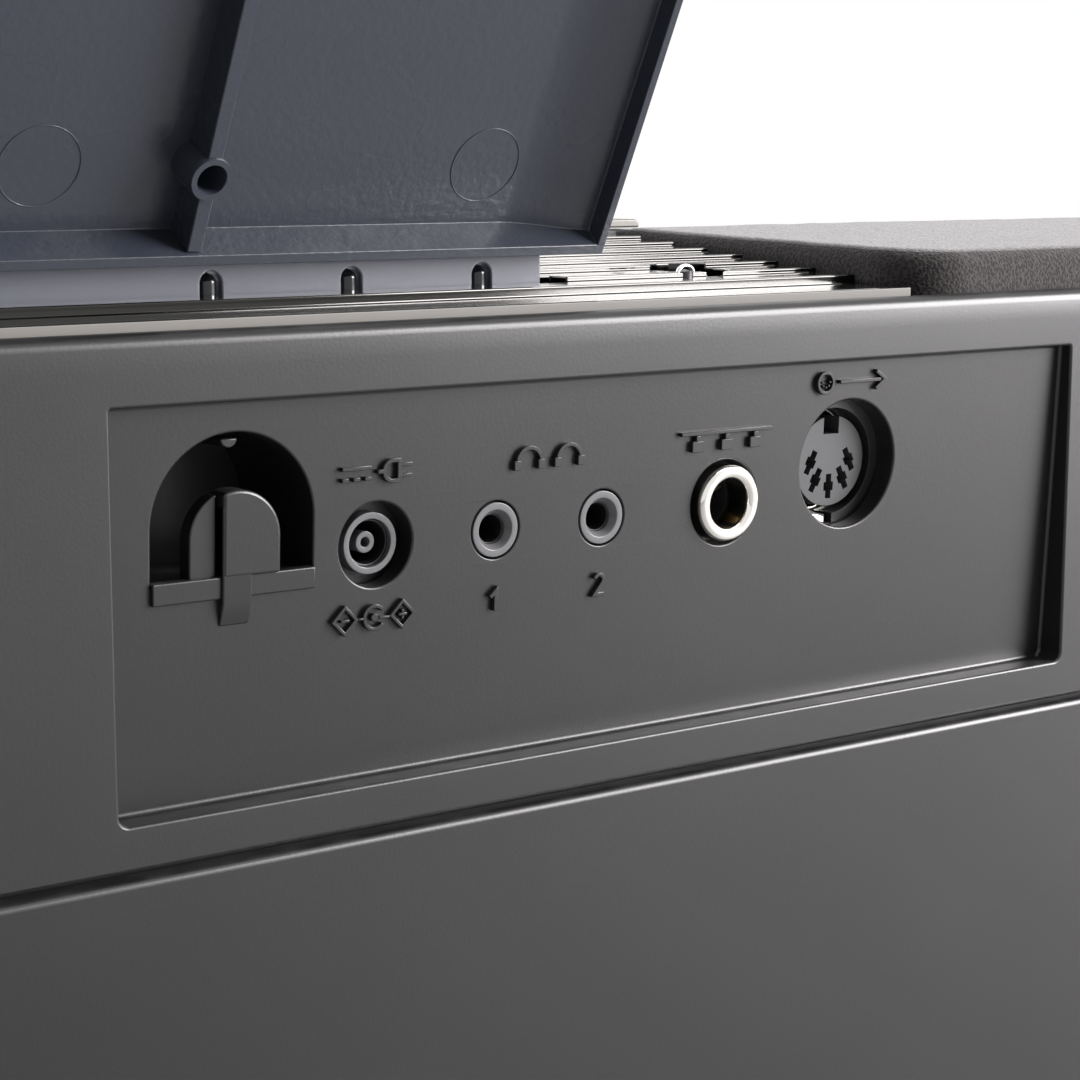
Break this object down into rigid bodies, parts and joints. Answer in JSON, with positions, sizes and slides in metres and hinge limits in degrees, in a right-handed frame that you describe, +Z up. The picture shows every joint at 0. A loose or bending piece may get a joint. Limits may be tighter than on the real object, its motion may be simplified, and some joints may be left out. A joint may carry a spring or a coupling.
{
  "type": "digital piano",
  "caption": "Slab digital piano with hinged keys, stepped top plate and front strip, foam speaker covers, lift-off music rest and a recessed rear connector panel.",
  "frame": {"origin": "under the middle of the whole object's box, at the level that the feet stand on", "axes": "+X towards the treble keys, +Y towards the back with the connectors, +Z up"},
  "size_m": [1.312, 0.3876, 0.324],
  "materials": {
    "case": "satin moulded, fine texture",
    "plate": "satin silver",
    "foam": "open-cell foam",
    "rest": "semi-gloss moulded",
    "collar": "satin",
    "nickel": "polished nickel",
    "socket": "satin black",
    "insert": "satin",
    "board": "solder-masked laminate",
    "button": "satin",
    "lamp": "clear gloss",
    "steel": "zinc plated",
    "felt": "wool felt",
    "cone": "pressed paper",
    "foot": "matte",
    "key_white": "semi-gloss",
    "key_black": "satin"
  },
  "bodies": {
    "case": {"bottom_case": "case", "top_case": "case", "end_block_left": "case", "end_block_right": "case", "stepped_plate": "plate", "front_strip": "plate", "foam_cover_left": "foam", "foam_cover_right": "foam", "dc_socket": "collar", "dc_pin": "nickel", "phones_socket_1": "collar", "phones_socket_2": "collar", "damper_socket": "socket", "damper_ferrule": "nickel", "din_socket": "socket", "din_insert": "insert", "din_shield": "nickel", "jack_board": "board", "power_lamp": "lamp", "control_board": "board", "key_frame": "steel", "natural_stop_felt": "felt", "sharp_stop_felt": "felt", "contact_board": "board", "natural_rod": "steel", "sharp_rod": "steel", "fallboard_felt": "felt", "speaker_left": "steel", "speaker_right": "steel", "cone_left": "cone", "cone_right": "cone", "main_board": "board", "foot_front_left": "foot", "foot_front_right": "foot", "foot_rear_left": "foot", "foot_rear_right": "foot"},
    "rest": {"music_rest": "rest"},
    "power_button": {"power_button": "button"},
    "piano_button": {"piano_button": "button"},
    "sound_button": {"sound_button": "button"},
    "volume_knob": {"volume_knob": "button"},
    "natural_c4": {"natural_c4": "key_white"},
    "natural_d4": {"natural_d4": "key_white"},
    "natural_e4": {"natural_e4": "key_white"},
    "natural_f4": {"natural_f4": "key_white"},
    "natural_g4": {"natural_g4": "key_white"},
    "natural_a4": {"natural_a4": "key_white"},
    "natural_b4": {"natural_b4": "key_white"},
    "sharp_c4": {"sharp_c4": "key_black"},
    "sharp_d4": {"sharp_d4": "key_black"},
    "sharp_f4": {"sharp_f4": "key_black"},
    "sharp_g4": {"sharp_g4": "key_black"},
    "sharp_a4": {"sharp_a4": "key_black"},
    "bass_naturals": {"bass_naturals": "key_white"},
    "bass_sharps": {"bass_sharps": "key_black"},
    "treble_naturals": {"treble_naturals": "key_white"},
    "treble_sharps": {"treble_sharps": "key_black"}
  },
  "joints": [
    {"name": "rest_lift", "type": "slide", "parent": "case", "child": "rest", "axis": [0, 0, 1], "range_m": [0, 0.04]},
    {"name": "power_press", "type": "slide", "parent": "case", "child": "power_button", "axis": [0, 0, -1], "range_m": [0, 0.001], "stiffness_N_per_m": 400, "springref_m": -0.002},
    {"name": "piano_press", "type": "slide", "parent": "case", "child": "piano_button", "axis": [0, 0, -1], "range_m": [0, 0.001], "stiffness_N_per_m": 400, "springref_m": -0.002},
    {"name": "sound_press", "type": "slide", "parent": "case", "child": "sound_button", "axis": [0, 0, -1], "range_m": [0, 0.001], "stiffness_N_per_m": 400, "springref_m": -0.002},
    {"name": "volume_turn", "type": "hinge", "parent": "case", "child": "volume_knob", "pos_m": [-0.535, 0.0047, 0.1455], "axis": [0, 0, 1], "range_deg": [-140, 140]},
    {"name": "natural_c4_hinge", "type": "hinge", "parent": "case", "child": "natural_c4", "pos_m": [-0.05887, 0.0182, 0.1], "axis": [1, 0, 0], "range_deg": [0, 2.85], "stiffness_Nm_per_rad": 0.4, "springref_deg": -15.76},
    {"name": "natural_d4_hinge", "type": "hinge", "parent": "case", "child": "natural_d4", "pos_m": [-0.03533, 0.0182, 0.1], "axis": [1, 0, 0], "range_deg": [0, 2.85], "stiffness_Nm_per_rad": 0.4, "springref_deg": -15.76},
    {"name": "natural_e4_hinge", "type": "hinge", "parent": "case", "child": "natural_e4", "pos_m": [-0.01178, 0.0182, 0.1], "axis": [1, 0, 0], "range_deg": [0, 2.85], "stiffness_Nm_per_rad": 0.4, "springref_deg": -15.76},
    {"name": "natural_f4_hinge", "type": "hinge", "parent": "case", "child": "natural_f4", "pos_m": [0.01178, 0.0182, 0.1], "axis": [1, 0, 0], "range_deg": [0, 2.85], "stiffness_Nm_per_rad": 0.4, "springref_deg": -15.76},
    {"name": "natural_g4_hinge", "type": "hinge", "parent": "case", "child": "natural_g4", "pos_m": [0.03533, 0.0182, 0.1], "axis": [1, 0, 0], "range_deg": [0, 2.85], "stiffness_Nm_per_rad": 0.4, "springref_deg": -15.76},
    {"name": "natural_a4_hinge", "type": "hinge", "parent": "case", "child": "natural_a4", "pos_m": [0.05887, 0.0182, 0.1], "axis": [1, 0, 0], "range_deg": [0, 2.85], "stiffness_Nm_per_rad": 0.4, "springref_deg": -15.76},
    {"name": "natural_b4_hinge", "type": "hinge", "parent": "case", "child": "natural_b4", "pos_m": [0.08242, 0.0182, 0.1], "axis": [1, 0, 0], "range_deg": [0, 2.85], "stiffness_Nm_per_rad": 0.4, "springref_deg": -15.76},
    {"name": "sharp_c4_hinge", "type": "hinge", "parent": "case", "child": "sharp_c4", "pos_m": [-0.0495, 0.0332, 0.106], "axis": [1, 0, 0], "range_deg": [0, 3.4], "stiffness_Nm_per_rad": 0.4, "springref_deg": -15.76},
    {"name": "sharp_d4_hinge", "type": "hinge", "parent": "case", "child": "sharp_d4", "pos_m": [-0.0212, 0.0332, 0.106], "axis": [1, 0, 0], "range_deg": [0, 3.4], "stiffness_Nm_per_rad": 0.4, "springref_deg": -15.76},
    {"name": "sharp_f4_hinge", "type": "hinge", "parent": "case", "child": "sharp_f4", "pos_m": [0.0202, 0.0332, 0.106], "axis": [1, 0, 0], "range_deg": [0, 3.4], "stiffness_Nm_per_rad": 0.4, "springref_deg": -15.76},
    {"name": "sharp_g4_hinge", "type": "hinge", "parent": "case", "child": "sharp_g4", "pos_m": [0.0471, 0.0332, 0.106], "axis": [1, 0, 0], "range_deg": [0, 3.4], "stiffness_Nm_per_rad": 0.4, "springref_deg": -15.76},
    {"name": "sharp_a4_hinge", "type": "hinge", "parent": "case", "child": "sharp_a4", "pos_m": [0.074, 0.0332, 0.106], "axis": [1, 0, 0], "range_deg": [0, 3.4], "stiffness_Nm_per_rad": 0.4, "springref_deg": -15.76},
    {"name": "bass_naturals_hinge", "type": "hinge", "parent": "case", "child": "bass_naturals", "pos_m": [0, 0.0182, 0.1], "axis": [1, 0, 0], "range_deg": [0, 2.85], "stiffness_Nm_per_rad": 12, "springref_deg": -15.76},
    {"name": "treble_naturals_hinge", "type": "hinge", "parent": "case", "child": "treble_naturals", "pos_m": [0, 0.0182, 0.1], "axis": [1, 0, 0], "range_deg": [0, 2.85], "stiffness_Nm_per_rad": 12, "springref_deg": -15.76},
    {"name": "bass_sharps_hinge", "type": "hinge", "parent": "case", "child": "bass_sharps", "pos_m": [0, 0.0332, 0.106], "axis": [1, 0, 0], "range_deg": [0, 3.4], "stiffness_Nm_per_rad": 8, "springref_deg": -15.76},
    {"name": "treble_sharps_hinge", "type": "hinge", "parent": "case", "child": "treble_sharps", "pos_m": [0, 0.0332, 0.106], "axis": [1, 0, 0], "range_deg": [0, 3.4], "stiffness_Nm_per_rad": 8, "springref_deg": -15.76}
  ]
}
